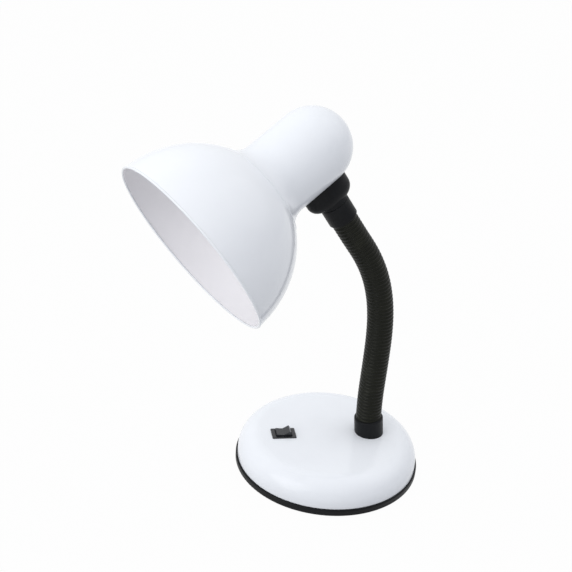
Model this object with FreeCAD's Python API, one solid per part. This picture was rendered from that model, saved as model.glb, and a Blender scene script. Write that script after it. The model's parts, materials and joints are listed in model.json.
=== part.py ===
"""Desk lamp with a weighted round base, a gooseneck and a bowl shade.

Units are millimetres.  The origin is the centre of the base's underside, on the desk.  +Z is up and
the front of the lamp, where the switch and the shade are, faces -Y.
"""
import FreeCAD, Part
import math
import os

from FreeCAD import Placement, Rotation, Vector

# ---------------------------------------------------------------- driving dimensions
RUN = 0.06                 # radial running clearance of a turning fit
SLIP = 0.25                # clearance of pieces that drop into each other
PAST = 1.0                 # how far a cutter reaches beyond what it cuts
FINE = 0.5                 # small rounded edge
SOFT = 0.8                 # softer rounded edge
FULL = 1.4                 # clearly rounded edge
HEAD_CHAMFER = 0.45        # rounding of a screw head, as a share of its thickness

# base
FOOT_R = 80.0              # outside of the black foot ring
FOOT_TOP = 6.5             # height at which the white cover starts
FOOT_LEDGE = 1.6           # width of the ring that shows outside the cover
FOOT_LIFT = 0.4            # the ring stays this far off the desk
BASE_H = 29.0              # top of the cover
SHOULDER = 18.5            # rounding of the cover's shoulder
DRAFT = 0.4                # how much the cover's side leans in
COVER_WALL = 2.0
PAD_T = 1.6                # anti-slip pad
PAD_R = 73.0
PLATE_T = 1.5              # steel bottom plate
RING_LIP = 1.5             # thickness of the ring's inner lip
RING_LIP_H = 1.0           # how far the lip reaches into the cover
RING_EDGE = 1.2            # rounding of the ring's outer edges
BALLAST_H = 9.0
BALLAST_R = 70.0
BALLAST_SLOT = 34.0        # width of the slot that clears the switch, the nut and the cord
BALLAST_FRONT = 55.0       # how far the slot reaches forward of the centre

# screws that hold the bottom plate
PLATE_SCREWS = 4
SCREW_CIRCLE_R = 58.0
SCREW_R = 1.5
SCREW_HEAD_R = 3.2
SCREW_HEAD_T = 1.1
SCREW_BITE = 8.0           # thread length inside a boss
BOSS_R = 4.2
RECESS_R = 1.6             # cross recess in every screw head
RECESS_DEPTH = 0.6

# rocker switch
SWITCH_Y = -39.9
FLANGE = (14.6, 21.0, 1.0) # width, length and height of the flange on the cover
CUTOUT = (13.0, 19.0)
BARREL_DEPTH = 12.0        # body under the cover
SWITCH_WALL = 1.2
ROCKER_W = 10.0
ROCKER_END_R = 7.0         # the rocker's ends are arcs about its pin
ROCKER_CROWN = 4.4         # top of the rocker's ends above the pin, untilted
ROCKER_WAIST = 2.0         # top of the rocker's middle above the pin
ROCKER_BELOW = 5.0
ROCKER_TILT = 12.5         # each way from level
ROCKER_SIDE = 0.3          # gap along the rocker's sides
PIN_R = 1.0
PIN_LIFT = 0.2             # pin above the top of the cover
PIN_REACH = 0.8            # length of the pin inside the body's wall
TAB = (0.8, 4.8, 7.0)      # blade terminal: thickness, width, length
TAB_SPACING = 9.0
TAB_HOLE_R = 0.8
TAB_HOLE_AT = 0.7          # share of the blade's length

# cord entry at the back
GLAND_Z = 13.0
GLAND_BORE_R = 3.2
GLAND_R = 4.4
GLAND_MOUTH_R = 3.8        # step at the outer end of the bore
GLAND_MOUTH_DEPTH = 2.0
GLAND_FLANGE_R = 5.0       # inside the cover
GLAND_FLANGE_T = 1.6
CLAMP_Y = 58.0
CLAMP = (26.0, 7.0, 2.5)   # strap: width, depth, thickness
CLAMP_Z = 15.5             # top of the strap
CLAMP_SPACING = 18.0
CLAMP_BOSS_R = 3.0
CLAMP_SCREW_R = 1.3
CLAMP_HEAD_R = 2.5
CLAMP_HEAD_T = 1.6
CLAMP_BITE = 6.0
CLAMP_RIB_R = 1.5
CLAMP_ROOM = 5.0           # left for the cord between the strap's rib and the bar above it

# gooseneck
COLLAR_Y = 36.4            # where the neck's axis meets the top of the cover
COLLAR_RAKE = 6.5          # forward lean of the collar, degrees
COLLAR_R = 12.6
COLLAR_H = 16.2
SOCKET_DEPTH = 5.0         # how far the sleeve sinks into the collar
STUD_R = 5.0
STUD_BORE_R = 3.5
STUD_UP = 6.0              # stud above the cover's top
STUD_DOWN = 9.0            # stud below the cover's wall
WASHER_R = 9.5
WASHER_T = 1.0
NUT_AF = 15.0              # across flats
NUT_T = 3.5
ROOT_GAP = 1.0             # plastic between the stud and the core's root

FIRST_JOINT = 17.5         # from the collar's foot to the first bending point
LINK = 19.8                # from one bending point to the next
LEAN = (1.5, -1.5, -1.5, -0.5, 3.0, 9.0, 17.0, 27.0, 36.0, 34.5)   # of each link, degrees forward
BEND = 10.0                # how far one joint bends each way
SLEEVE_R = 11.1            # crest of the ribs
RIB_DEPTH = 0.9
RIB_PITCH = 3.3
RIB_FLANK = 0.3            # share of a rib's pitch taken by each flank
CORE_R = 9.4
CORE_BORE_R = 6.0
BALL_R = 8.2
END_GAP = 0.4              # left between two sleeves when a joint is bent fully

HEAD_REACH = 83.7          # from the last bending point to the shade's axis
FERRULE_R = 12.3
FERRULE_H = 16.1
FERRULE_GRIP = 4.5         # length of sleeve held in the ferrule
FERRULE_FLOOR = 4.0
SADDLE_FOOT = 48.5         # from the shade's axis to the saddle's foot
SWIVEL_GAP = 0.1
NIPPLE_R = 5.0
NIPPLE_BORE_R = 3.5
SWIVEL_WASHER = (8.0, 1.2) # radius, thickness
SWIVEL_NUT = (14.0, 3.5)   # across flats, thickness

# head, measured along the shade's axis from the neck's axis
SWIVEL = 21.6              # how far the head is turned to the lamp's +X side, degrees
OPENING_Z = 115.2
SHADE_R = 77.0             # at the opening
SHADE_DEPTH = 82.0         # height of the full elliptical bowl
SHADE_T = 0.6
BEAD_R = 1.0
SEAT_R = 27.0              # flat seat at the top of the bowl
SEAT_HOLE_R = 20.2         # clears the lampholder's sleeve
CAP_R = 31.5
CAP_WALL = 2.4
CAP_END_Z = -40.7
CAP_FOOT_R = 42.0          # where the cap's flare ends on the bowl
CAP_FOOT_SKIN = 0.02       # what the flare's line leaves over the bowl's bulge
CAP_FOOT_ROUND = 18.0
LEDGE_R = 29.9             # recess in the cap for the lampholder's flange
HOLDER_FLANGE_T = 3.0
HOLDER_R = 21.3
HOLDER_BACK_Z = 2.0
HOLDER_FLOOR = 18.0        # the floor's inside above the holder's back
HOLDER_WALL = 3.0
HOLDER_CAVITY = 10.0       # wiring space in the holder's back
HOLDER_SLEEVE_R = 19.8
HOLDER_MOUTH_Z = 55.0
SHELL_R = 13.5             # bore of the screw shell
SHELL_T = 0.6
SHELL_INSET = 4.0          # shell behind the holder's mouth
SHELL_LIFT = 4.0           # shell above the holder's floor
CONTACT_R = 4.0
CONTACT_T = 1.0
TONGUE = (4.0, 6.4, 0.6)   # width, length, thickness of the contact's spring
TONGUE_RISE = 20.0         # degrees
RING_R = 27.5
RING_FLANGE_T = 2.5
RING_GRIP_R = 24.0
RING_GRIP_H = 7.0
RING_SEAT_H = 1.5          # cone that centres the ring in the bowl
RING_NOTCHES = 12
RING_NOTCH_R = 1.6
HOLDER_SCREW_X = 25.4
HOLDER_SCREW_R = 1.4
HOLDER_HEAD_R = 2.5
HOLDER_HEAD_T = 1.6
HOLDER_BITE = 10.0
HOLDER_BOSS_R = 4.2
SADDLE_R = 20.5            # half the saddle's length along the cap
SADDLE_SIDE = 13.5         # half its width round the cap
SADDLE_ROUND = 8.5
SADDLE_DEPTH = 3.0         # how far it starts behind the pad's face
SADDLE_PAD_R = 9.0
SADDLE_PAD_Y = 27.0        # flat inside the cap under the washer

# ---------------------------------------------------------------- derived places
COVER_R = FOOT_R - FOOT_LEDGE
COVER_IN = COVER_R - COVER_WALL
CEILING = BASE_H - COVER_WALL
PLATE_TOP = PAD_T + PLATE_T
PLATE_R = COVER_IN
LINKS = len(LEAN)
SOCKET_R = SLEEVE_R + SLIP / 2
PIN_Z = BASE_H + PIN_LIFT

UP = Vector(0, 0, 1)
FRONT_AXIS = Vector(1, 0, 0)


# ---------------------------------------------------------------- tools
def rounded_wire(corners):
    """Closed wire in the XZ plane through (r, z) or (r, z, radius) corners."""
    points = [Vector(c[0], 0, c[1]) for c in corners]
    radii = [c[2] if len(c) > 2 else 0.0 for c in corners]
    count = len(points)
    starts, ends, arcs = [], [], []
    for i, (point, radius) in enumerate(zip(points, radii)):
        before = (points[i - 1] - point).normalize()
        after = (points[(i + 1) % count] - point).normalize()
        if radius <= 0:
            starts.append(point)
            ends.append(point)
            arcs.append(None)
            continue
        half = before.getAngle(after) / 2
        start = point + before * (radius / math.tan(half))
        end = point + after * (radius / math.tan(half))
        centre = point + (before + after).normalize() * (radius / math.sin(half))
        middle = centre + (point - centre).normalize() * radius
        starts.append(start)
        ends.append(end)
        arcs.append(Part.Arc(start, middle, end).toShape())
    edges = []
    for i in range(count):
        if arcs[i] is not None:
            edges.append(arcs[i])
        following = starts[(i + 1) % count]
        if (following - ends[i]).Length > 1e-6:
            edges.append(Part.LineSegment(ends[i], following).toShape())
    return Part.Wire(edges)


def turned(corners):
    """Solid of revolution about Z from (r, z[, radius]) corners."""
    face = Part.Face(rounded_wire(corners))
    solid = face.revolve(Vector(0, 0, 0), UP, 360)
    return solid if solid.Volume > 0 else solid.reversed()


def rod(radius, low, high, x=0.0, y=0.0):
    return Part.makeCylinder(radius, high - low, Vector(x, y, low), UP)


def tube(outer, inner, low, high):
    return rod(outer, low, high).cut(rod(inner, low - PAST, high + PAST))


def block(width, length, low, high, x=0.0, y=0.0):
    return Part.makeBox(width, length, high - low, Vector(x - width / 2, y - length / 2, low))


def hexagon(across_flats, low, high):
    corner = across_flats / math.sqrt(3)
    points = [Vector(corner * math.cos(math.radians(60 * k)), corner * math.sin(math.radians(60 * k)), low)
              for k in range(7)]
    return Part.Face(Part.makePolygon(points)).extrude(UP * (high - low))


def screw(radius, head_r, head_t, length):
    """Screw along +Z, its head's seat at z = 0 and its head below."""
    head = turned([(0, -head_t), (head_r, -head_t, head_t * HEAD_CHAMFER), (head_r, 0), (0, 0)])
    recess = block(2 * RECESS_R, RECESS_R / 2, -head_t - PAST, -head_t + RECESS_DEPTH)
    cross = recess.fuse(recess.rotated(Vector(0, 0, 0), UP, 90))
    return head.fuse(rod(radius, 0, length)).cut(cross)


def ring_of(count, radius, phase=45.0):
    """Places on a circle, the first at phase degrees."""
    for k in range(count):
        angle = math.radians(phase + 360.0 * k / count)
        yield radius * math.cos(angle), radius * math.sin(angle)


def placed(shape, place):
    moved = shape.copy()
    moved.Placement = place.multiply(moved.Placement)
    return moved


def group(shapes):
    return Part.makeCompound(list(shapes))


def leaning(origin, degrees):
    """Frame at origin whose +Z leans forward by the given angle."""
    return Placement(origin, Rotation(FRONT_AXIS, degrees))


# ---------------------------------------------------------------- the neck's joints and the head's frame
def neck_joints():
    """Every bending point, from the first above the collar."""
    foot = Vector(0, COLLAR_Y, BASE_H)
    points = [leaning(foot, COLLAR_RAKE).multVec(UP * FIRST_JOINT)]
    for lean in LEAN[:-1]:
        points.append(leaning(points[-1], lean).multVec(UP * LINK))
    return points


JOINTS = neck_joints()
COLLAR_FRAME = leaning(Vector(0, COLLAR_Y, BASE_H), COLLAR_RAKE)
LINK_FRAMES = [leaning(point, lean) for point, lean in zip(JOINTS, LEAN)]
HEAD_CENTRE = LINK_FRAMES[-1].multVec(UP * HEAD_REACH)
# frame of the neck's end: z along the neck, 0 on the shade's axis
END_FRAME = Placement(HEAD_CENTRE, LINK_FRAMES[-1].Rotation)


def head_frame():
    """x across the lamp, y down along the neck's end, z towards the shade's opening."""
    along_neck = END_FRAME.Rotation.multVec(UP)
    turn = Rotation(along_neck, SWIVEL)
    opening = turn.multVec(END_FRAME.Rotation.multVec(Vector(0, -1, 0)))
    down = along_neck * -1
    return Placement(HEAD_CENTRE, Rotation(down.cross(opening), down, opening, "ZYX"))


HEAD = head_frame()


def joint_gap(index):
    """Gap between the sleeves at a joint, wide enough for its bend on top of its lean at rest."""
    leans = (COLLAR_RAKE,) + LEAN
    kink = abs(leans[index + 1] - leans[index])
    return SLEEVE_R * math.sin(math.radians(kink + BEND)) + END_GAP


# ---------------------------------------------------------------- base
def cover_outside():
    return turned([(0, FOOT_TOP), (COVER_R, FOOT_TOP), (COVER_R - DRAFT, BASE_H, SHOULDER), (0, BASE_H)])


def cover_inside():
    inner = COVER_IN - DRAFT
    return turned([(0, FOOT_TOP), (COVER_IN, FOOT_TOP), (inner, CEILING, SHOULDER - COVER_WALL),
                   (0, CEILING)])


def along_back(radius, start, end, z):
    return Part.makeCylinder(radius, end - start, Vector(0, start, z), Vector(0, 1, 0))


def base_cover():
    shell = cover_outside().cut(cover_inside())
    for x, y in ring_of(PLATE_SCREWS, SCREW_CIRCLE_R):
        shell = shell.fuse(rod(BOSS_R, PLATE_TOP, CEILING + COVER_WALL / 2, x, y))
        shell = shell.cut(rod(SCREW_R, PLATE_TOP - PAST, PLATE_TOP + SCREW_BITE, x, y))
    for side in (-1, 1):
        x = side * CLAMP_SPACING / 2
        shell = shell.fuse(rod(CLAMP_BOSS_R, CLAMP_Z, CEILING + COVER_WALL / 2, x, CLAMP_Y))
        shell = shell.cut(rod(CLAMP_SCREW_R, CLAMP_Z - PAST, CLAMP_Z + CLAMP_BITE, x, CLAMP_Y))
    shell = shell.cut(block(CUTOUT[0], CUTOUT[1], CEILING - PAST, BASE_H + PAST, 0, SWITCH_Y))
    shell = shell.cut(rod(STUD_R, CEILING - PAST, BASE_H + PAST, 0, COLLAR_Y))
    bar_z = CLAMP_Z + CLAMP_RIB_R + CLAMP_ROOM
    shell = shell.fuse(block(CLAMP_SPACING, 2 * CLAMP_RIB_R, bar_z, CEILING + COVER_WALL / 2, 0, CLAMP_Y))
    return shell.cut(along_back(GLAND_R, COVER_IN / 2, COVER_R + PAST, GLAND_Z))


def foot_ring():
    lip_out = COVER_IN - SLIP
    return turned([(PAD_R + SLIP, FOOT_LIFT), (FOOT_R, FOOT_LIFT, RING_EDGE), (FOOT_R, FOOT_TOP, RING_EDGE),
                   (lip_out, FOOT_TOP), (lip_out, FOOT_TOP + RING_LIP_H),
                   (lip_out - RING_LIP, FOOT_TOP + RING_LIP_H), (lip_out - RING_LIP, PLATE_TOP),
                   (PLATE_R, PLATE_TOP), (PLATE_R, PAD_T), (PAD_R + SLIP, PAD_T)])


def base_plate():
    plate = rod(PLATE_R, PAD_T, PLATE_TOP)
    for x, y in ring_of(PLATE_SCREWS, SCREW_CIRCLE_R):
        plate = plate.cut(rod(SCREW_R + SLIP, PAD_T - PAST, PLATE_TOP + PAST, x, y))
    return plate


def anti_slip_pad():
    pad = turned([(0, 0), (PAD_R, 0, FINE), (PAD_R, PAD_T), (0, PAD_T)])
    for x, y in ring_of(PLATE_SCREWS, SCREW_CIRCLE_R):
        pad = pad.cut(rod(SCREW_HEAD_R + 2 * SLIP, -PAST, PAD_T + PAST, x, y))
    return pad


def ballast_weight():
    top = PLATE_TOP + BALLAST_H
    weight = turned([(0, PLATE_TOP), (BALLAST_R, PLATE_TOP), (BALLAST_R, top, FULL), (0, top)])
    for x, y in ring_of(PLATE_SCREWS, SCREW_CIRCLE_R):
        weight = weight.cut(rod(BOSS_R + 2 * SLIP, PLATE_TOP - PAST, top + PAST, x, y))
    slot = BALLAST_FRONT + BALLAST_R + 1
    return weight.cut(block(BALLAST_SLOT, slot, PLATE_TOP - PAST, top + PAST, 0, slot / 2 - BALLAST_FRONT))


def plate_screws():
    one = screw(SCREW_R, SCREW_HEAD_R, SCREW_HEAD_T, PLATE_T + SCREW_BITE)
    return group(one.translated(Vector(x, y, PAD_T)) for x, y in ring_of(PLATE_SCREWS, SCREW_CIRCLE_R))


def switch_body():
    width, length, height = FLANGE
    flange = block(width, length, BASE_H, BASE_H + height, 0, SWITCH_Y)
    flange = flange.makeFillet(SOFT, [e for e in flange.Edges if abs(e.tangentAt(0).z) > 0.9])
    top_edges = [e for e in flange.Edges if e.BoundBox.ZMin > BASE_H + height - 0.01]
    flange = flange.makeFillet(FINE, top_edges)
    barrel = block(CUTOUT[0] - SLIP, CUTOUT[1] - SLIP, BASE_H - BARREL_DEPTH, BASE_H, 0, SWITCH_Y)
    well = block(ROCKER_W + 2 * ROCKER_SIDE, 2 * (ROCKER_END_R + ROCKER_SIDE),
                 BASE_H - BARREL_DEPTH + SWITCH_WALL, BASE_H + height + PAST, 0, SWITCH_Y)
    bore_half = ROCKER_W / 2 + ROCKER_SIDE + PIN_REACH + RUN
    bore = Part.makeCylinder(PIN_R + RUN, 2 * bore_half, Vector(-bore_half, SWITCH_Y, PIN_Z), FRONT_AXIS)
    return flange.fuse(barrel).cut(well).cut(bore)


def rocker():
    half = ROCKER_W / 2
    barrel = Part.makeCylinder(ROCKER_END_R, ROCKER_W, Vector(-half, 0, 0), FRONT_AXIS)
    outline = [(-2 * ROCKER_END_R, -ROCKER_BELOW), (2 * ROCKER_END_R, -ROCKER_BELOW),
               (2 * ROCKER_END_R, 2 * ROCKER_CROWN - ROCKER_WAIST), (0, ROCKER_WAIST),
               (-2 * ROCKER_END_R, 2 * ROCKER_CROWN - ROCKER_WAIST)]
    points = [Vector(-half, y, z) for y, z in outline]
    prism = Part.Face(Part.makePolygon(points + points[:1])).extrude(Vector(ROCKER_W, 0, 0))
    body = barrel.common(prism)
    reach = half + ROCKER_SIDE + PIN_REACH
    body = body.fuse(Part.makeCylinder(PIN_R, 2 * reach, Vector(-reach, 0, 0), FRONT_AXIS))
    return placed(body, Placement(Vector(0, SWITCH_Y, PIN_Z), Rotation(FRONT_AXIS, ROCKER_TILT)))


def switch_terminals():
    thickness, width, length = TAB
    top = BASE_H - BARREL_DEPTH
    tabs = []
    for side in (-1, 1):
        tab = block(width, thickness, top - length, top, 0, SWITCH_Y + side * TAB_SPACING / 2)
        hole = Part.makeCylinder(TAB_HOLE_R, 2 * PAST, Vector(0, SWITCH_Y + side * TAB_SPACING / 2 - PAST,
                                                        top - length * TAB_HOLE_AT), Vector(0, 1, 0))
        tabs.append(tab.cut(hole))
    return group(tabs)


def cord_gland():
    front = COVER_IN - 2 * GLAND_FLANGE_T
    body = along_back(GLAND_R, front, COVER_R, GLAND_Z).common(cover_outside())
    flange = along_back(GLAND_FLANGE_R, front, COVER_R, GLAND_Z).common(cover_inside())
    mouth = along_back(GLAND_MOUTH_R, COVER_R - GLAND_MOUTH_DEPTH, COVER_R + PAST, GLAND_Z)
    return body.fuse(flange).cut(mouth).cut(along_back(GLAND_BORE_R, front - PAST, COVER_R, GLAND_Z))


def cord_clamp():
    width, depth, thickness = CLAMP
    strap = block(width, depth, CLAMP_Z - thickness, CLAMP_Z, 0, CLAMP_Y)
    strap = strap.makeFillet(FULL, [e for e in strap.Edges if abs(e.tangentAt(0).z) > 0.9])
    rib = Part.makeCylinder(CLAMP_RIB_R, CLAMP_SPACING - 4 * CLAMP_BOSS_R, Vector(0, CLAMP_Y, CLAMP_Z), FRONT_AXIS)
    strap = strap.fuse(rib.translated(Vector(2 * CLAMP_BOSS_R - CLAMP_SPACING / 2, 0, 0)))
    for side in (-1, 1):
        strap = strap.cut(rod(CLAMP_SCREW_R + SLIP / 2, 0, BASE_H, side * CLAMP_SPACING / 2, CLAMP_Y))
    return strap


def clamp_screws():
    one = screw(CLAMP_SCREW_R, CLAMP_HEAD_R, CLAMP_HEAD_T, CLAMP[2] + CLAMP_BITE)
    return group(one.translated(Vector(side * CLAMP_SPACING / 2, CLAMP_Y, CLAMP_Z - CLAMP[2]))
                 for side in (-1, 1))


# ---------------------------------------------------------------- neck
def stud_place(shape):
    return shape.translated(Vector(0, COLLAR_Y, 0))


def neck_stud():
    return stud_place(tube(STUD_R, STUD_BORE_R, CEILING - STUD_DOWN, BASE_H + STUD_UP))


def neck_washer():
    return stud_place(tube(WASHER_R, STUD_R, CEILING - WASHER_T, CEILING))


def neck_nut():
    top = CEILING - WASHER_T
    return stud_place(hexagon(NUT_AF, top - NUT_T, top).cut(rod(STUD_R, 0, BASE_H)))


def root_seat():
    """Height along the collar's axis at which the core's root stands, above the stud."""
    rake = math.radians(COLLAR_RAKE)
    return STUD_UP * math.cos(rake) + STUD_R * math.sin(rake) + ROOT_GAP


def neck_collar():
    collar = turned([(0, -2 * STUD_UP), (COLLAR_R, -2 * STUD_UP), (COLLAR_R, COLLAR_H, FULL), (0, COLLAR_H)])
    collar = collar.cut(rod(SOCKET_R, COLLAR_H - SOCKET_DEPTH, COLLAR_H + PAST))
    collar = collar.cut(rod(CORE_R, root_seat(), COLLAR_H + PAST))
    collar = placed(collar, COLLAR_FRAME)
    above = Part.makeBox(4 * COLLAR_R, 4 * COLLAR_R, 4 * COLLAR_H,
                         Vector(-2 * COLLAR_R, COLLAR_Y - 2 * COLLAR_R, BASE_H))
    return collar.common(above).cut(stud_place(rod(STUD_R, BASE_H - PAST, BASE_H + STUD_UP))).cut(
        stud_place(rod(STUD_BORE_R, BASE_H, BASE_H + 2 * STUD_UP)))


def ribbed_tube(low, high):
    """Sleeve with round-shouldered ribs, between two heights."""
    ribs = max(2, round((high - low) / RIB_PITCH))
    pitch = (high - low) / ribs
    valley = SLEEVE_R - RIB_DEPTH
    corners = [(CORE_R, low)]
    for k in range(ribs):
        z = low + k * pitch
        corners += [(valley, z), (SLEEVE_R, z + RIB_FLANK * pitch), (SLEEVE_R, z + (1 - RIB_FLANK) * pitch)]
    corners += [(valley, high), (CORE_R, high)]
    return turned(corners)


def core_segment(low, high, ball_at=None):
    """Steel core: a tube with a ball end round the next bending point."""
    core = rod(CORE_R, low, high)
    if ball_at is not None:
        core = core.fuse(Part.makeSphere(BALL_R, Vector(0, 0, ball_at)))
        core = core.cut(rod(CORE_BORE_R, low - PAST, ball_at + 2 * BALL_R))
    return core.cut(rod(CORE_BORE_R, low - PAST, high + PAST))


def sleeve(index):
    """Sleeve 0 sits in the collar, the rest between two joints, the last runs into the ferrule."""
    if index == 0:
        low, high = COLLAR_H - SOCKET_DEPTH, FIRST_JOINT - joint_gap(0) / 2
        return placed(ribbed_tube(low, high), COLLAR_FRAME)
    low = joint_gap(index - 1) / 2
    if index == LINKS:
        high = HEAD_REACH - SADDLE_FOOT - SWIVEL_GAP - FERRULE_H + FERRULE_GRIP
    else:
        high = LINK - joint_gap(index) / 2
    return placed(ribbed_tube(low, high), LINK_FRAMES[index - 1])


def core(index):
    if index == 0:
        high = FIRST_JOINT - joint_gap(0) / 2
        return placed(core_segment(root_seat(), high, FIRST_JOINT), COLLAR_FRAME)
    low = joint_gap(index - 1) / 2
    if index == LINKS:
        high = HEAD_REACH - SADDLE_FOOT - SWIVEL_GAP - FERRULE_FLOOR
        piece = core_segment(low, high)
    else:
        piece = core_segment(low, LINK - joint_gap(index) / 2, LINK)
    piece = piece.cut(Part.makeSphere(BALL_R + RUN))
    return placed(piece, LINK_FRAMES[index - 1])


def neck_ferrule():
    top = -SADDLE_FOOT - SWIVEL_GAP
    ferrule = turned([(0, top - FERRULE_H), (FERRULE_R, top - FERRULE_H, SOFT), (FERRULE_R, top, FINE), (0, top)])
    ferrule = ferrule.cut(rod(SOCKET_R, top - FERRULE_H - PAST, top - FERRULE_H + FERRULE_GRIP))
    ferrule = ferrule.cut(rod(CORE_R, top - FERRULE_H - PAST, top - FERRULE_FLOOR))
    ferrule = ferrule.cut(rod(NIPPLE_R, top - FERRULE_H, top + PAST))
    return placed(ferrule, END_FRAME)


def washer_face():
    return -SADDLE_PAD_Y + SWIVEL_GAP


def swivel_nipple():
    low = -SADDLE_FOOT - SWIVEL_GAP - 2 * FERRULE_FLOOR
    high = washer_face() + SWIVEL_WASHER[1] + SWIVEL_NUT[1]
    return placed(tube(NIPPLE_R, NIPPLE_BORE_R, low, high), END_FRAME)


def swivel_washer():
    low = washer_face()
    return placed(tube(SWIVEL_WASHER[0], NIPPLE_R, low, low + SWIVEL_WASHER[1]), END_FRAME)


def swivel_nut():
    low = washer_face() + SWIVEL_WASHER[1]
    nut = hexagon(SWIVEL_NUT[0], low, low + SWIVEL_NUT[1]).cut(rod(NIPPLE_R, low - PAST, 0))
    return placed(nut, END_FRAME)


# ---------------------------------------------------------------- head, in its own frame
def bowl_height(radius, across=SHADE_R, deep=SHADE_DEPTH):
    """Height on the bowl's surface at a radius from its axis."""
    return OPENING_Z - deep * math.sqrt(1 - (radius / across) ** 2)


def bowl_curve(across, deep, from_radius):
    """Quarter ellipse from the given radius down to the opening."""
    centre = Vector(0, 0, OPENING_Z)
    tips = sorted((Vector(0, 0, OPENING_Z - deep), Vector(across, 0, OPENING_Z)),
                  key=lambda tip: (tip - centre).Length, reverse=True)
    ellipse = Part.Ellipse(*tips, centre)
    start = Vector(from_radius, 0, bowl_height(from_radius, across, deep))
    end = Vector(across, 0, OPENING_Z)
    spans = sorted((ellipse.parameter(start), ellipse.parameter(end)))
    if spans[1] - spans[0] > math.pi:
        spans = [spans[1] - 2 * math.pi, spans[0]]
    return Part.ArcOfEllipse(ellipse, *spans).toShape(), start, end


def bowl_solid(grow):
    """The filled outside of the bowl, grown by a clearance."""
    curve, start, end = bowl_curve(SHADE_R + grow, SHADE_DEPTH + grow, SEAT_R)
    top = Vector(0, 0, start.z)
    bottom = Vector(0, 0, OPENING_Z)
    edges = [curve, Part.LineSegment(end, bottom).toShape(), Part.LineSegment(bottom, top).toShape(),
             Part.LineSegment(top, start).toShape()]
    return Part.Face(Part.Wire(Part.__sortEdges__(edges))).revolve(Vector(0, 0, 0), UP, 360)


SEAT_Z = bowl_height(SEAT_R)


def shade():
    outer, outer_start, outer_end = bowl_curve(SHADE_R, SHADE_DEPTH, SEAT_R)
    inner, inner_start, inner_end = bowl_curve(SHADE_R - SHADE_T, SHADE_DEPTH - SHADE_T, SEAT_R)
    edges = [outer, inner, Part.LineSegment(outer_end, inner_end).toShape(),
             Part.LineSegment(outer_start, inner_start).toShape()]
    bowl = Part.Face(Part.Wire(Part.__sortEdges__(edges))).revolve(Vector(0, 0, 0), UP, 360)
    seat = tube(SEAT_R + SHADE_T, SEAT_HOLE_R, SEAT_Z, SEAT_Z + SHADE_T)
    seat = seat.common(bowl_solid(0))
    bead = Part.makeTorus(SHADE_R - BEAD_R / 2, BEAD_R, Vector(0, 0, OPENING_Z - BEAD_R), UP)
    return bowl.fuse(seat).fuse(bead).removeSplitter()


def cap_outside():
    foot_z = bowl_height(CAP_FOOT_R)
    corner_z = bowl_height(CAP_R)
    bulge = (foot_z + corner_z) / 2 - bowl_height((CAP_FOOT_R + CAP_R) / 2)
    skin = bulge + CAP_FOOT_SKIN
    barrel = turned([(0, 0), (CAP_R, 0), (CAP_R, corner_z - skin, CAP_FOOT_ROUND), (CAP_FOOT_R, foot_z - skin),
                     (CAP_FOOT_R, foot_z + PAST), (0, foot_z + PAST)])
    lower = rod(CAP_R, CAP_END_Z + CAP_R, 1)
    end = Part.makeSphere(CAP_R, Vector(0, 0, CAP_END_Z + CAP_R))
    return barrel.fuse(lower).fuse(end).removeSplitter()


def lamp_cap():
    ledge_z = SEAT_Z - HOLDER_FLANGE_T
    inner_r = CAP_R - CAP_WALL
    hollow = rod(inner_r, CAP_END_Z + CAP_R, ledge_z + PAST)
    hollow = hollow.fuse(Part.makeSphere(inner_r, Vector(0, 0, CAP_END_Z + CAP_R)))
    cap = cap_outside().cut(hollow)
    pad = Part.makeCylinder(SADDLE_PAD_R, CAP_R - 1 - SADDLE_PAD_Y, Vector(0, SADDLE_PAD_Y, 0), Vector(0, 1, 0))
    cap = cap.fuse(pad)
    for side in (-1, 1):
        boss = rod(HOLDER_BOSS_R, ledge_z - 2 * HOLDER_BITE, ledge_z, side * HOLDER_SCREW_X)
        boss = boss.common(rod(CAP_R - CAP_WALL / 2, 0, ledge_z))
        cap = cap.fuse(boss)
    cap = cap.cut(rod(HOLDER_R + SLIP, HOLDER_BACK_Z - PAST, ledge_z + PAST))
    for side in (-1, 1):
        cap = cap.cut(rod(HOLDER_SCREW_R, ledge_z - HOLDER_BITE, ledge_z + PAST, side * HOLDER_SCREW_X))
    cap = cap.cut(rod(LEDGE_R, ledge_z, OPENING_Z))
    cap = cap.cut(Part.makeCylinder(NIPPLE_R + RUN, 2 * CAP_R, Vector(0, 0, 0), Vector(0, 1, 0)))
    return placed(cap.cut(bowl_solid(0)), HEAD)


def lampholder():
    flange_r = LEDGE_R - SLIP
    holder = turned([(0, HOLDER_BACK_Z), (HOLDER_R, HOLDER_BACK_Z, FULL), (HOLDER_R, SEAT_Z - HOLDER_FLANGE_T),
                     (flange_r, SEAT_Z - HOLDER_FLANGE_T), (flange_r, SEAT_Z), (HOLDER_SLEEVE_R, SEAT_Z),
                     (HOLDER_SLEEVE_R, HOLDER_MOUTH_Z, SOFT), (0, HOLDER_MOUTH_Z)])
    bore_r = SHELL_R + SHELL_T
    holder = holder.cut(rod(bore_r, HOLDER_BACK_Z + HOLDER_FLOOR, HOLDER_MOUTH_Z + PAST))
    holder = holder.cut(rod(HOLDER_R - HOLDER_WALL, 0, HOLDER_BACK_Z + HOLDER_CAVITY))
    for side in (-1, 1):
        x = side * HOLDER_SCREW_X
        holder = holder.cut(rod(HOLDER_HEAD_R + SLIP / 2, SEAT_Z - HOLDER_HEAD_T, SEAT_Z + PAST, x))
        holder = holder.cut(rod(HOLDER_SCREW_R + SLIP / 2, 0, SEAT_Z, x))
    return holder


def holder_screws():
    length = HOLDER_FLANGE_T - HOLDER_HEAD_T + HOLDER_BITE
    one = screw(HOLDER_SCREW_R, HOLDER_HEAD_R, HOLDER_HEAD_T, length)
    one = one.rotated(Vector(0, 0, 0), FRONT_AXIS, 180)
    return group(one.translated(Vector(side * HOLDER_SCREW_X, 0, SEAT_Z - HOLDER_HEAD_T)) for side in (-1, 1))


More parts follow.
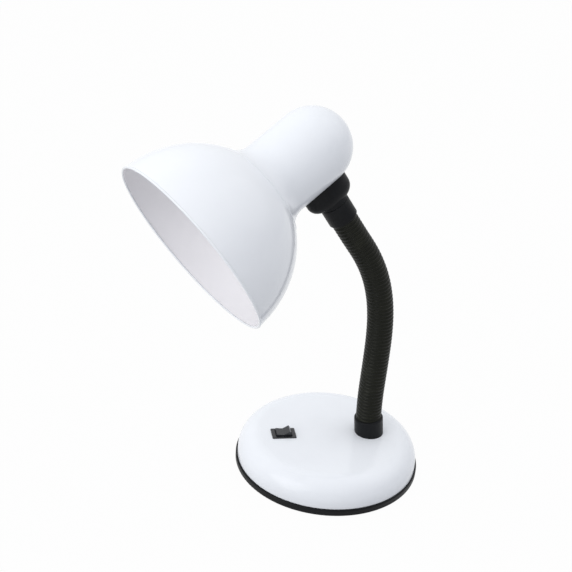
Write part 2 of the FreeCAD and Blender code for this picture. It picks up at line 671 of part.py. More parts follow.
def screw_shell():
    low = HOLDER_BACK_Z + HOLDER_FLOOR + SHELL_LIFT
    return tube(SHELL_R + SHELL_T, SHELL_R, low, HOLDER_MOUTH_Z - SHELL_INSET)


def centre_contact():
    floor = HOLDER_BACK_Z + HOLDER_FLOOR
    width, length, thickness = TONGUE
    spring = Part.makeBox(width, length, thickness, Vector(-width / 2, -length / 2, 0))
    spring = spring.rotated(Vector(0, -length / 2, 0), FRONT_AXIS, TONGUE_RISE)
    spring = spring.translated(Vector(0, 0, floor + CONTACT_T - thickness / 2))
    return rod(CONTACT_R, floor, floor + CONTACT_T).fuse(spring)


def shade_ring():
    low = SEAT_Z + SHADE_T
    flange_top = low + RING_FLANGE_T
    ring = turned([(HOLDER_SLEEVE_R, low), (SEAT_R - SHADE_T, low), (RING_R, low + RING_SEAT_H), (RING_R, flange_top, FINE),
                   (RING_GRIP_R, flange_top), (RING_GRIP_R, flange_top + RING_GRIP_H, SOFT),
                   (HOLDER_SLEEVE_R, flange_top + RING_GRIP_H)])
    for x, y in ring_of(RING_NOTCHES, RING_GRIP_R):
        ring = ring.cut(rod(RING_NOTCH_R, flange_top, flange_top + RING_GRIP_H + PAST, x, y))
    return ring


def saddle():
    """Oval foot that hugs the cap, with a round neck that carries the ferrule."""
    low = SADDLE_PAD_Y - SADDLE_DEPTH
    top = SADDLE_FOOT - 2 * FINE
    foot = turned([(0, low), (SADDLE_R, low), (SADDLE_R, top, SADDLE_ROUND), (0, top)])
    squeeze = FreeCAD.Matrix()
    squeeze.scale(SADDLE_SIDE / SADDLE_R, 1, 1)
    foot = foot.transformGeometry(squeeze)
    neck = turned([(0, low), (FERRULE_R, low), (FERRULE_R, SADDLE_FOOT, FINE), (0, SADDLE_FOOT)])
    body = foot.fuse(neck).cut(rod(NIPPLE_R + RUN, low - PAST, SADDLE_FOOT + PAST))
    body = body.rotated(Vector(0, 0, 0), FRONT_AXIS, -90)
    return body.cut(cap_outside())


PIECES = {
    "base_cover": base_cover(),
    "foot_ring": foot_ring(),
    "base_plate": base_plate(),
    "anti_slip_pad": anti_slip_pad(),
    "ballast_weight": ballast_weight(),
    "plate_screws": plate_screws(),
    "switch_body": switch_body(),
    "rocker": rocker(),
    "switch_terminals": switch_terminals(),
    "cord_gland": cord_gland(),
    "cord_clamp": cord_clamp(),
    "clamp_screws": clamp_screws(),
    "neck_collar": neck_collar(),
    "neck_stud": neck_stud(),
    "neck_washer": neck_washer(),
    "neck_nut": neck_nut(),
    "neck_ferrule": neck_ferrule(),
    "swivel_nipple": swivel_nipple(),
    "swivel_washer": swivel_washer(),
    "swivel_nut": swivel_nut(),
    "saddle": placed(saddle(), HEAD),
    "lamp_cap": lamp_cap(),
    "lampholder": placed(lampholder(), HEAD),
    "holder_screws": placed(holder_screws(), HEAD),
    "screw_shell": placed(screw_shell(), HEAD),
    "centre_contact": placed(centre_contact(), HEAD),
    "shade_ring": placed(shade_ring(), HEAD),
    "shade": placed(shade(), HEAD),
}
for number in range(LINKS + 1):
    PIECES["neck_sleeve_%02d" % number] = sleeve(number)
    PIECES["neck_core_%02d" % number] = core(number)

os.makedirs("parts", exist_ok=True)
for name, shape in PIECES.items():
    shape.exportStep("parts/%s.step" % name)
    print("%-18s %2d solids  valid %s  %9.1f mm3" % (name, len(shape.Solids), shape.isValid(), shape.Volume))
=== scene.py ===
import json
import math

import bmesh
import bpy
from mathutils import Matrix, Vector


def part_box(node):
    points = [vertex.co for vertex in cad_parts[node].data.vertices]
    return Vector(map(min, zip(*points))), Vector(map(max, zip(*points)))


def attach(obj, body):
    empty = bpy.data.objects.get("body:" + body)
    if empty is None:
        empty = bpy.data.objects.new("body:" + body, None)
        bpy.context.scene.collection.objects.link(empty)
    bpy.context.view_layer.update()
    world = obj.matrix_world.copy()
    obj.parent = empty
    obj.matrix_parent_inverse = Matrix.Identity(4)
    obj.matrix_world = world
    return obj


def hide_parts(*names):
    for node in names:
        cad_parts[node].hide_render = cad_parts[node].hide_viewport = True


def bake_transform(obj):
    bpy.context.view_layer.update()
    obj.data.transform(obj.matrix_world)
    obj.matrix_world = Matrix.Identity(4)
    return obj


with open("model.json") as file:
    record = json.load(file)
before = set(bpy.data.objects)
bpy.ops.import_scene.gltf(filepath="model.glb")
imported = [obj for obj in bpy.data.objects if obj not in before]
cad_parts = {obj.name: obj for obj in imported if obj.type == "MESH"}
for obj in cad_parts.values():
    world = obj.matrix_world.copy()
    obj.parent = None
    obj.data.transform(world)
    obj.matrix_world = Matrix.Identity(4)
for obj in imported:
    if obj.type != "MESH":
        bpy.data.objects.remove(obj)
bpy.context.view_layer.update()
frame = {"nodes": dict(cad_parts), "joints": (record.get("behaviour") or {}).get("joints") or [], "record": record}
nodes = frame["nodes"]

# ------------------------------------------------------------------ bottom plate, its screws and the pad
# The base is closed from below by a zinc-plated steel plate, held by four screws.  A die-cut pad of
# dark foam rubber is glued to it, with a hole over each screw, and keeps the lamp from sliding.
ZINC_COLOR = (0.60, 0.60, 0.57, 1)
ZINC_BLUE = (0.50, 0.54, 0.60, 1)
ZINC_ROUGHNESS = 0.34
SPANGLE_SIZE = 0.006        # size of a tint patch on the plating
SCRATCH_SIZE = 0.0004
SCRATCH_DEPTH = 0.00002
FOAM_COLOR = (0.022, 0.022, 0.024, 1)
FOAM_DUST = (0.10, 0.10, 0.095, 1)
FOAM_CELL = 0.0007          # size of one foam cell, metres
FOAM_PIT = 0.0003           # depth of a cell


def add_node(tree, kind, **inputs):
    """A node of that kind; each keyword sets the input of that name, its underscores read as spaces."""
    node = tree.nodes.new(kind)
    for key, value in inputs.items():
        node.inputs[key.replace("_", " ")].default_value = value
    return node


def math_node(tree, operation, first=0.5, second=0.5):
    """A Math node; a number given here holds where no link is made."""
    node = tree.nodes.new("ShaderNodeMath")
    node.operation = operation
    node.inputs[0].default_value = first
    node.inputs[1].default_value = second
    return node


def new_finish(name, **sockets):
    """A material whose Principled shader has the given constants: (material, tree, shader)."""
    material = bpy.data.materials.new(name)
    material.use_nodes = True
    tree = material.node_tree
    shader = tree.nodes["Principled BSDF"]
    for key, value in sockets.items():
        shader.inputs[key.replace("_", " ")].default_value = value
    return material, tree, shader


def new_effect(name, inputs, outputs):
    """A shader node group; inputs maps names to a default number or colour, outputs to a socket kind."""
    group = bpy.data.node_groups.new(name, "ShaderNodeTree")
    for label, value in inputs.items():
        kind = "NodeSocketColor" if isinstance(value, tuple) else "NodeSocketFloat"
        group.interface.new_socket(label, in_out="INPUT", socket_type=kind).default_value = value
    for label, kind in outputs.items():
        group.interface.new_socket(label, in_out="OUTPUT", socket_type=kind)
    return group, group.nodes.new("NodeGroupInput"), group.nodes.new("NodeGroupOutput")


def use_effect(tree, group, **inputs):
    """That node group placed in a material, with its own values."""
    node = tree.nodes.new("ShaderNodeGroup")
    node.node_tree = group
    for key, value in inputs.items():
        node.inputs[key.replace("_", " ")].default_value = value
    return node


def build_patches():
    """Two colours that drift into each other in soft patches of a given size."""
    group, given, out = new_effect("patches", {"First": (1, 1, 1, 1), "Second": (0, 0, 0, 1), "Size": 0.01,
                                               "Share": 0.5, "Softness": 0.2},
                                   {"Color": "NodeSocketColor"})
    place = group.nodes.new("ShaderNodeTexCoord")
    scale = math_node(group, "DIVIDE", first=1.0)
    noise = add_node(group, "ShaderNodeTexNoise", Detail=4.0, Roughness=0.6)
    low = math_node(group, "SUBTRACT")
    high = math_node(group, "ADD")
    edge = add_node(group, "ShaderNodeMapRange")
    mix = group.nodes.new("ShaderNodeMix")
    mix.data_type = "RGBA"
    link = group.links.new
    link(given.outputs["Size"], scale.inputs[1])
    link(place.outputs["Object"], noise.inputs["Vector"])
    link(scale.outputs[0], noise.inputs["Scale"])
    link(given.outputs["Share"], low.inputs[0])
    link(given.outputs["Softness"], low.inputs[1])
    link(given.outputs["Share"], high.inputs[0])
    link(given.outputs["Softness"], high.inputs[1])
    link(noise.outputs["Fac"], edge.inputs["Value"])
    link(low.outputs[0], edge.inputs["From Min"])
    link(high.outputs[0], edge.inputs["From Max"])
    link(edge.outputs["Result"], mix.inputs["Factor"])
    link(given.outputs["First"], mix.inputs["A"])
    link(given.outputs["Second"], mix.inputs["B"])
    link(mix.outputs["Result"], out.inputs["Color"])
    return group


patches = build_patches()


def build_grain():
    """Height of a fine all-over grain, and a roughness that drifts a little about a middle value."""
    group, given, out = new_effect("grain", {"Size": 0.001, "Middle": 0.4, "Drift": 0.05, "Drift Size": 0.03},
                                   {"Height": "NodeSocketFloat", "Roughness": "NodeSocketFloat"})
    place = group.nodes.new("ShaderNodeTexCoord")
    link = group.links.new
    fields = []
    for label, detail in (("Size", 3.0), ("Drift Size", 2.0)):
        scale = math_node(group, "DIVIDE", first=1.0)
        noise = add_node(group, "ShaderNodeTexNoise", Detail=detail)
        link(given.outputs[label], scale.inputs[1])
        link(place.outputs["Object"], noise.inputs["Vector"])
        link(scale.outputs[0], noise.inputs["Scale"])
        fields.append(noise.outputs["Fac"])
    centred = math_node(group, "SUBTRACT", second=0.5)
    wander = math_node(group, "MULTIPLY_ADD")
    link(fields[0], out.inputs["Height"])
    link(fields[1], centred.inputs[0])
    link(centred.outputs[0], wander.inputs[0])
    link(given.outputs["Drift"], wander.inputs[1])
    link(given.outputs["Middle"], wander.inputs[2])
    link(wander.outputs[0], out.inputs["Roughness"])
    return group


grain = build_grain()


def bumped(tree, shader, height, depth):
    """Feeds a height, in shares of depth metres, to the shader's Normal."""
    bump = add_node(tree, "ShaderNodeBump", Strength=1.0, Distance=depth)
    tree.links.new(height, bump.inputs["Height"])
    tree.links.new(bump.outputs["Normal"], shader.inputs["Normal"])


def laid_on(tree, shader, color, surface, depth):
    """Gives the shader a colour, and the grain's roughness and its height in shares of depth metres."""
    tree.links.new(color, shader.inputs["Base Color"])
    tree.links.new(surface.outputs["Roughness"], shader.inputs["Roughness"])
    bumped(tree, shader, surface.outputs["Height"], depth)


def zinc_finish():
    material, tree, shader = new_finish("zinc_plating", Metallic=1.0)
    tint = use_effect(tree, patches, First=ZINC_COLOR, Second=ZINC_BLUE, Size=SPANGLE_SIZE, Softness=0.25)
    surface = use_effect(tree, grain, Size=SCRATCH_SIZE, Middle=ZINC_ROUGHNESS, Drift=0.3, Drift_Size=0.008)
    laid_on(tree, shader, tint.outputs["Color"], surface, SCRATCH_DEPTH)
    return material


def foam_finish():
    material, tree, shader = new_finish("foam_rubber", Roughness=0.92, Specular_IOR_Level=0.2)
    dust = use_effect(tree, patches, First=FOAM_COLOR, Second=FOAM_DUST, Size=0.025, Share=0.62, Softness=0.2)
    place = tree.nodes.new("ShaderNodeTexCoord")
    cells = add_node(tree, "ShaderNodeTexVoronoi", Scale=1 / FOAM_CELL)
    tree.links.new(place.outputs["Object"], cells.inputs["Vector"])
    tree.links.new(dust.outputs["Color"], shader.inputs["Base Color"])
    bumped(tree, shader, cells.outputs["Distance"], FOAM_PIT)
    return material


def dress(node, *finishes):
    """A carried-over CAD node gets these materials in its slots."""
    slots = nodes[node].data.materials
    slots.clear()
    for material in finishes:
        slots.append(material)


zinc = zinc_finish()
dress("base_plate", zinc)
dress("plate_screws", zinc)
dress("anti_slip_pad", foam_finish())

# ------------------------------------------------------------------ foot ring
# A satin black ring is pressed on round the base's lower edge.  It is injection moulded in ABS with a
# fine spark-eroded texture, as the collar, the ferrule and the saddle are.
BLACK = (0.0050, 0.0056, 0.0066, 1)
BLACK_RUBBED = (0.012, 0.013, 0.014, 1)
BLACK_ROUGHNESS = 0.42
TEXTURE_GRAIN = 0.00035     # size of the spark-eroded grain
TEXTURE_DEPTH = 0.00003


def black_finish(name, color=BLACK, roughness=BLACK_ROUGHNESS, grain_size=TEXTURE_GRAIN, shine=0.13):
    material, tree, shader = new_finish(name, Specular_IOR_Level=shine)
    tone = use_effect(tree, patches, First=color, Second=BLACK_RUBBED, Size=0.03, Share=0.62, Softness=0.25)
    surface = use_effect(tree, grain, Size=grain_size, Middle=roughness, Drift=0.12)
    laid_on(tree, shader, tone.outputs["Color"], surface, TEXTURE_DEPTH)
    return material


black_plastic = black_finish("satin_black")
dress("foot_ring", black_plastic)

# ------------------------------------------------------------------ ballast
# A sand-cast iron disc lies on the plate, slotted for the switch, the neck's nut and the cord.  It is
# left raw, with the coarse skin of its mould and a little rust.
IRON_COLOR = (0.09, 0.09, 0.095, 1)
IRON_RUST = (0.16, 0.075, 0.04, 1)
SAND_GRAIN = 0.0012
SAND_DEPTH = 0.0004


def cast_finish():
    material, tree, shader = new_finish("raw_cast_iron", Metallic=0.6)
    tint = use_effect(tree, patches, First=IRON_COLOR, Second=IRON_RUST, Size=0.018, Share=0.64, Softness=0.1)
    surface = use_effect(tree, grain, Size=SAND_GRAIN, Middle=0.68, Drift=0.2)
    laid_on(tree, shader, tint.outputs["Color"], surface, SAND_DEPTH)
    return material


dress("ballast_weight", cast_finish())

# ------------------------------------------------------------------ base cover
# The cover is a deep dish moulded in glossy, faintly bluish white plastic, with a large soft shoulder.
# Its gloss shows the slight waviness of the moulding and a few dull smears from handling.
WHITE = (0.86, 0.885, 0.92, 1)
WHITE_SMEAR = (0.83, 0.855, 0.89, 1)
WHITE_GLOSS = 0.19
WAVE_SIZE = 0.004           # size of the moulding's waviness
WAVE_DEPTH = 0.00002


def white_finish(name, color=WHITE, smear=WHITE_SMEAR, gloss=WHITE_GLOSS, wave=WAVE_DEPTH):
    material, tree, shader = new_finish(name, Specular_IOR_Level=0.36)
    tone = use_effect(tree, patches, First=color, Second=smear, Size=0.045, Share=0.55, Softness=0.25)
    surface = use_effect(tree, grain, Size=WAVE_SIZE, Middle=gloss, Drift=0.12, Drift_Size=0.02)
    laid_on(tree, shader, tone.outputs["Color"], surface, wave)
    return material


white_plastic = white_finish("glossy_white_plastic")
dress("base_cover", white_plastic)

# ------------------------------------------------------------------ rocker switch
# A black panel switch snaps into the cover from above.  Its body is satin, and the rocker is polished
# where the finger slides over it.  Two blade terminals point down inside the base.
SWITCH_BLACK = (0.017, 0.018, 0.022, 1)
SWITCH_ROUGHNESS = 0.32
SWITCH_GRAIN = 0.00025
SWITCH_SHINE = 0.5
ROCKER_GLOSS = 0.16
ROCKER_WAVE = 0.0006        # size of the faint unevenness that polishing leaves
TERMINAL_BRASS = (0.72, 0.53, 0.24, 1)
TERMINAL_TARNISH = (0.50, 0.36, 0.17, 1)
BRASS_GRAIN_DEPTH = 0.00001


def brass_finish():
    material, tree, shader = new_finish("brass", Metallic=1.0)
    tint = use_effect(tree, patches, First=TERMINAL_BRASS, Second=TERMINAL_TARNISH, Size=0.005, Share=0.55,
                      Softness=0.2)
    surface = use_effect(tree, grain, Size=0.0003, Middle=0.26, Drift=0.2, Drift_Size=0.006)
    laid_on(tree, shader, tint.outputs["Color"], surface, BRASS_GRAIN_DEPTH)
    return material


switch_plastic = black_finish("switch_black", SWITCH_BLACK, SWITCH_ROUGHNESS, SWITCH_GRAIN, SWITCH_SHINE)
rocker_plastic = black_finish("rocker_black", SWITCH_BLACK, ROCKER_GLOSS, ROCKER_WAVE, SWITCH_SHINE)
brass = brass_finish()
dress("switch_body", switch_plastic)
dress("rocker", rocker_plastic)
dress("switch_terminals", brass)

# ------------------------------------------------------------------ cord gland and clamp
# The mains cord enters at the back through a black grommet, flush with the cover, and a strap with two
# self-tapping screws holds it inside.
dress("cord_gland", black_plastic)
dress("cord_clamp", black_plastic)
dress("clamp_screws", zinc)

# ------------------------------------------------------------------ neck collar and its fixing
# The gooseneck stands in a satin black collar.  A hollow threaded stud, a washer and a nut pull the
# collar down on the cover, and the wires pass through the stud.
dress("neck_collar", black_plastic)
for fastener in ("neck_stud", "neck_washer", "neck_nut"):
    dress(fastener, zinc)

# ------------------------------------------------------------------ the gooseneck's steel core
# Inside the sleeve runs a core of steel wire wound tight, which bends under a firm push and stays
# there.  Its turns show as fine bands round it.
STEEL_COLOR = (0.38, 0.38, 0.39, 1)
STEEL_SHADE = (0.22, 0.22, 0.23, 1)
WIRE_TURN = 0.0015          # pitch of the wound wire
WIRE_DEPTH = 0.0003
WAVE_RATE = 20              # radians per metre of the wave texture at a scale of 1


def wound_finish():
    material, tree, shader = new_finish("wound_steel", Metallic=1.0)
    tint = use_effect(tree, patches, First=STEEL_COLOR, Second=STEEL_SHADE, Size=0.01, Share=0.5,
                      Softness=0.2)
    surface = use_effect(tree, grain, Size=0.0005, Middle=0.36, Drift=0.1)
    place = tree.nodes.new("ShaderNodeTexCoord")
    turns = add_node(tree, "ShaderNodeTexWave", Scale=math.tau / WAVE_RATE / WIRE_TURN)
    turns.bands_direction = "Z"
    tree.links.new(place.outputs["Object"], turns.inputs["Vector"])
    tree.links.new(tint.outputs["Color"], shader.inputs["Base Color"])
    tree.links.new(surface.outputs["Roughness"], shader.inputs["Roughness"])
    bumped(tree, shader, turns.outputs["Fac"], WIRE_DEPTH)
    return material


wound_steel = wound_finish()
for node in nodes:
    if node.startswith("neck_core_"):
        dress(node, wound_steel)

# ------------------------------------------------------------------ the gooseneck's ribbed sleeve
# One length of soft black vinyl tube covers the core from the collar to the ferrule.  It is ribbed all
# round, so that it bends without creasing, and its grooves hold a little dust.
RIBS_PER_LINK = 6
GROOVE_DEPTH = 0.0006
GROOVE_SHARPNESS = 5        # higher is a narrower groove
RIB_STEPS = 8               # rings of vertices in one rib
ROUND_STEPS = 64            # vertices round the sleeve
LINE_STEPS = 24             # points in one bend of the centre line
SLEEVE_BORE = 0.0098
COLLAR_TO_BEND = 0.0013     # the first bend lies this far above the collar
FERRULE_MOUTH = 0.0190      # the ferrule's mouth lies this far above the last bend
COLLAR_TUCK = 0.0040        # sleeve hidden in the collar
FERRULE_TUCK = 0.0040       # sleeve hidden in the ferrule
VINYL = (0.0068, 0.0074, 0.0046, 1)
VINYL_DUST = (0.032, 0.033, 0.022, 1)
VINYL_ROUGHNESS = 0.38
VINYL_GRAIN_DEPTH = 0.00002
GROOVE_DUST = 0.35          # share of dust at the bottom of a groove
CREASE_ANGLE = 40           # edges sharper than this stay sharp, degrees


def to_vector(numbers):
    return Vector([float(x) for x in numbers])


bends = [j for j in frame["joints"] if j["child"].startswith("link_")]
bend_points = [to_vector(j["pos_m"]) for j in bends]
middles = [(a + b) / 2 for a, b in zip(bend_points, bend_points[1:])]
swivel = next(j for j in frame["joints"] if j["name"] == "head_swivel")
neck_end_axis = to_vector(swivel["axis"]).normalized()
half_link = (middles[0] - bend_points[0]).length
middles.append(bend_points[-1] + neck_end_axis * half_link)
collar_foot = Vector((0, sum(corner.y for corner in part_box("neck_stud")) / 2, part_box("base_cover")[1].z))
collar_axis = (bend_points[0] - collar_foot).normalized()
collar_top = bend_points[0] - collar_axis * COLLAR_TO_BEND
ferrule_mouth = bend_points[-1] + neck_end_axis * FERRULE_MOUTH


def sleeve_line():
    """Centre line of the sleeve as (distance, point) pairs, and the distances at which its pieces meet."""
    points = [collar_top - collar_axis * COLLAR_TUCK]
    seams = [0]
    for start, corner, end in zip([collar_top] + middles, bend_points, middles):
        for k in range(LINE_STEPS):
            t = k / LINE_STEPS
            points.append(start * (1 - t) ** 2 + corner * (2 * t * (1 - t)) + end * t * t)
        seams.append(len(points))
    points += [middles[-1], ferrule_mouth, ferrule_mouth + neck_end_axis * FERRULE_TUCK]
    seams[-1] = len(points) - 1     # the last piece runs on into the ferrule
    reached = [0.0]
    for before, after in zip(points, points[1:]):
        reached.append(reached[-1] + (after - before).length)
    return list(zip(reached, points)), [reached[k] for k in seams]


line, seams = sleeve_line()
rib_pitch = (seams[-2] - seams[1]) / (RIBS_PER_LINK * (len(bends) - 2))


def along_sleeve(distance):
    """Point and direction of the centre line at that distance."""
    after = next((k for k in range(1, len(line)) if line[k][0] >= distance), len(line) - 1)
    (low, first), (high, second) = line[after - 1], line[after]
    return first.lerp(second, (distance - low) / (high - low)), (second - first).normalized()


def sleeve_radius(distance, crest):
    """Outside of the sleeve: rounded ribs parted by narrow grooves, one groove on each seam."""
    turn = abs(math.cos(math.pi * (distance - seams[1]) / rib_pitch))
    return crest - GROOVE_DEPTH * turn ** GROOVE_SHARPNESS


def skin(bm, rings):
    """Joins each ring of vertices to the next and the last to the first; one list of faces for each ring."""
    bands = []
    for ring, following in zip(rings, rings[1:] + rings[:1]):
        band = []
        for step in range(len(ring)):
            beside = (step + 1) % len(ring)
            band.append(bm.faces.new((ring[step], ring[beside], following[beside], following[step])))
        bands.append(band)
    return bands


def smooth_piece(name, bm):
    """An object of that bmesh, smooth but for its creases."""
    bmesh.ops.recalc_face_normals(bm, faces=bm.faces)
    mesh = bpy.data.meshes.new(name)
    bm.to_mesh(mesh)
    bm.free()
    mesh.shade_smooth()
    mesh.set_sharp_from_angle(angle=math.radians(CREASE_ANGLE))
    piece = bpy.data.objects.new(name, mesh)
    bpy.context.scene.collection.objects.link(piece)
    return piece


def sleeve_piece(name, low, high, crest):
    """A closed length of sleeve between two distances, with the depth in its grooves as an attribute."""
    count = max(2, round((high - low) / rib_pitch * RIB_STEPS))
    across = Vector((1, 0, 0))
    bm = bmesh.new()
    groove = bm.verts.layers.float.new("groove")
    rings = []
    for inside in (False, True):
        for k in range(count + 1) if not inside else range(count, -1, -1):
            distance = low + (high - low) * k / count
            centre, forward = along_sleeve(distance)
            upright = forward.cross(across)
            radius = SLEEVE_BORE if inside else sleeve_radius(distance, crest)
            ring = []
            for step in range(ROUND_STEPS):
                angle = math.tau * step / ROUND_STEPS
                spoke = across * math.cos(angle) + upright * math.sin(angle)
                vertex = bm.verts.new(centre + spoke * radius)
                vertex[groove] = 0.0 if inside else (crest - radius) / GROOVE_DEPTH
                ring.append(vertex)
            rings.append(ring)
    skin(bm, rings)
    return smooth_piece(name, bm)


def vinyl_finish():
    material, tree, shader = new_finish("black_vinyl", Specular_IOR_Level=0.14)
    tone = use_effect(tree, patches, First=VINYL, Second=VINYL_DUST, Size=0.02, Share=0.85, Softness=0.3)
    groove = tree.nodes.new("ShaderNodeAttribute")
    groove.attribute_name = "groove"
    dust = tree.nodes.new("ShaderNodeMix")
    dust.data_type = "RGBA"
    dust.inputs["B"].default_value = VINYL_DUST
    share = math_node(tree, "MULTIPLY", second=GROOVE_DUST)
    surface = use_effect(tree, grain, Size=0.0004, Middle=VINYL_ROUGHNESS, Drift=0.12)
    tree.links.new(groove.outputs["Fac"], share.inputs[0])
    tree.links.new(share.outputs[0], dust.inputs["Factor"])
    tree.links.new(tone.outputs["Color"], dust.inputs["A"])
    laid_on(tree, shader, dust.outputs["Result"], surface, VINYL_GRAIN_DEPTH)
    return material


vinyl = vinyl_finish()
sleeve_crest = (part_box("neck_sleeve_00")[1].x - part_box("neck_sleeve_00")[0].x) / 2
for number, bend in enumerate(bends, start=1):
    piece = sleeve_piece("ribbed_sleeve_%02d" % number, seams[number - 1], seams[number], sleeve_crest)
    piece.data.materials.append(vinyl)
    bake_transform(piece)
    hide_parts("neck_sleeve_%02d" % number)
    if number == 1:
        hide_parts("neck_sleeve_00")

# ------------------------------------------------------------------ ferrule and swivel
# A black ferrule closes the neck's upper end.  A hollow nipple runs from it into the cap, where a
# washer and a nut hold the head so that it turns on the neck with some drag.
dress("neck_ferrule", black_plastic)
for fastener in ("swivel_nipple", "swivel_washer", "swivel_nut"):
    dress(fastener, zinc)

# ------------------------------------------------------------------ saddle
# The saddle is a flared foot, moulded in the ferrule's black ABS and hollowed to hug the round cap.  The
# swivel's nipple runs through it and clamps it to the cap's side.
dress("saddle", black_plastic)

# ------------------------------------------------------------------ lamp cap
# The cap is moulded in the same glossy white plastic as the base's cover.  It is domed behind, its flared
# foot sits on the shade, and the lampholder is screwed into it from below.
dress("lamp_cap", white_plastic)

# ------------------------------------------------------------------ lampholder
# An ivory thermoset lampholder is screwed into the cap.  It carries the pressed brass screw shell, whose
# rolled thread takes the bulb, the centre contact, and the notched ring that clamps the shade.
IVORY = (0.78, 0.75, 0.67, 1)
IVORY_FLECK = (0.70, 0.66, 0.57, 1)
IVORY_GRAIN_DEPTH = 0.00002
THREAD_PITCH = 0.00362
THREAD_DEPTH = 0.0008
THREAD_STEPS = 72           # vertices round the shell
SHELL_WALL = 0.0003         # half the wall of the plain tube that it replaces
SHELL_CLEARANCE = 0.00005   # between the rolled thread and the holder's bore


def ivory_finish():
    material, tree, shader = new_finish("ivory_thermoset")
    tone = use_effect(tree, patches, First=IVORY, Second=IVORY_FLECK, Size=0.002, Share=0.62, Softness=0.08)
    surface = use_effect(tree, grain, Size=0.0006, Middle=0.33, Drift=0.15)
    laid_on(tree, shader, tone.outputs["Color"], surface, IVORY_GRAIN_DEPTH)
    return material


ivory = ivory_finish()
for moulding in ("lampholder", "shade_ring"):
    dress(moulding, ivory)
dress("centre_contact", brass)
dress("holder_screws", zinc)

socket = next(m for m in frame["record"]["mounts"] if m["name"] == "bulb_socket")
socket_middle = to_vector(socket["pos_m"])
opening_axis = to_vector(socket["axis"]).normalized()
swivel_at = to_vector(swivel["pos_m"])
head_centre = swivel_at + neck_end_axis * (socket_middle - swivel_at).dot(neck_end_axis)
head_across = opening_axis.cross(neck_end_axis)
head_turn = Matrix((head_across, -neck_end_axis, opening_axis)).transposed()
head_place = Matrix.Translation(head_centre) @ head_turn.to_4x4()


def threaded_shell(name):
    """A thin tube whose wall follows a rolled screw thread."""
    outside = socket["dims"]["r_mm"] / 1000 + SHELL_WALL * 2 - SHELL_CLEARANCE
    length = socket["dims"]["length_mm"] / 1000
    middle = (socket_middle - head_centre).dot(opening_axis)
    rows = round(length / THREAD_PITCH * RIB_STEPS)
    bm = bmesh.new()
    rings = []
    for wall in (0.0, SHELL_WALL):
        for k in range(rows + 1) if wall == 0 else range(rows, -1, -1):
            height = length * k / rows
            level = middle - length / 2 + height
            ring = []
            for step in range(THREAD_STEPS):
                angle = math.tau * step / THREAD_STEPS
                wave = 0.5 + 0.5 * math.cos(math.tau * height / THREAD_PITCH - angle)
                fade = min(1.0, height / THREAD_PITCH, (length - height) / THREAD_PITCH)
                radius = outside - wall - THREAD_DEPTH * wave * fade
                spot = Vector((radius * math.cos(angle), radius * math.sin(angle), level))
                ring.append(bm.verts.new(head_place @ spot))
            rings.append(ring)
    skin(bm, rings)
    return smooth_piece(name, bm)


thread = threaded_shell("rolled_screw_shell")
thread.data.materials.append(brass)
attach(thread, "head")
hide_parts("screw_shell")

# ------------------------------------------------------------------ shade
# The bowl is spun from thin sheet and enamelled, glossy bluish white outside and a soft matt white
# inside.  Its edge is rolled outwards into a fine bead, and its seat is clamped under the cap.
BOWL_R = 0.0770             # at the opening
BOWL_DEPTH = 0.0820         # of the whole elliptical bowl
BOWL_WALL = 0.0006
OPENING_AT = 0.1152         # from the neck's axis to the opening
SEAT_R = 0.0270
SEAT_HOLE_R = 0.0202
BEAD_R = 0.0010
BEAD_FROM = 60              # where the bead's arc starts and how far it goes round, degrees
BEAD_SWEEP = 240
BOWL_END = 89               # where the bead takes over, degrees from the bowl's top
BOWL_STEPS = 64             # rings from the seat to the bead
BEAD_STEPS = 20
BOWL_ROUND_STEPS = 256
ENAMEL = (0.87, 0.893, 0.925, 1)
ENAMEL_SMEAR = (0.845, 0.868, 0.90, 1)
ENAMEL_GLOSS = 0.14
ENAMEL_WAVE = 0.000012      # depth of the enamel's waviness
MATT_INSIDE = (0.90, 0.89, 0.91, 1)
MATT_INSIDE_SHADE = (0.87, 0.86, 0.88, 1)
MATT_GRAIN_DEPTH = 0.00003


def bowl_wall(shrink):
    """(radius, height) points from the seat to the bead, evenly spread over the quarter ellipse."""
    across = BOWL_R - shrink
    first = math.asin(SEAT_R / across)
    last = math.radians(BOWL_END)
    for k in range(BOWL_STEPS + 1):
        angle = first + (last - first) * k / BOWL_STEPS
        yield across * math.sin(angle), OPENING_AT - (BOWL_DEPTH - shrink) * math.cos(angle)


def shade_outline():
    """Closed outline of the sheet: outside, bead, then back along the inside; True marks the inside."""
    seat = OPENING_AT - BOWL_DEPTH * math.sqrt(1 - (SEAT_R / BOWL_R) ** 2)
    outline = [(SEAT_HOLE_R, seat, False)]
    outline += [(radius, height, False) for radius, height in bowl_wall(0.0)]
    bead_r, bead_z = BOWL_R - BEAD_R / 2, OPENING_AT - BEAD_R
    for k in range(1, BEAD_STEPS):
        angle = math.radians(BEAD_FROM - BEAD_SWEEP * k / BEAD_STEPS)
        outline.append((bead_r + BEAD_R * math.cos(angle), bead_z - BEAD_R * math.sin(angle), False))
    outline += [(radius, height, True) for radius, height in reversed(list(bowl_wall(BOWL_WALL)))]
    outline.append((SEAT_HOLE_R, seat + BOWL_WALL, True))
    return outline


def turned_sheet(name, outline, place, round_steps):
    """A sheet turned about the local Z of a place; its marked faces get the second material."""
    bm = bmesh.new()
    rings = []
    for radius, height, _ in outline:
        ring = []
        for step in range(round_steps):
            angle = math.tau * step / round_steps
            spot = Vector((radius * math.cos(angle), radius * math.sin(angle), height))
            ring.append(bm.verts.new(place @ spot))
        rings.append(ring)
    marks = [mark for _, _, mark in outline]
    for band, mark, following_mark in zip(skin(bm, rings), marks, marks[1:] + marks[:1]):
        for face in band:
            face.material_index = int(mark and following_mark)
    return smooth_piece(name, bm)


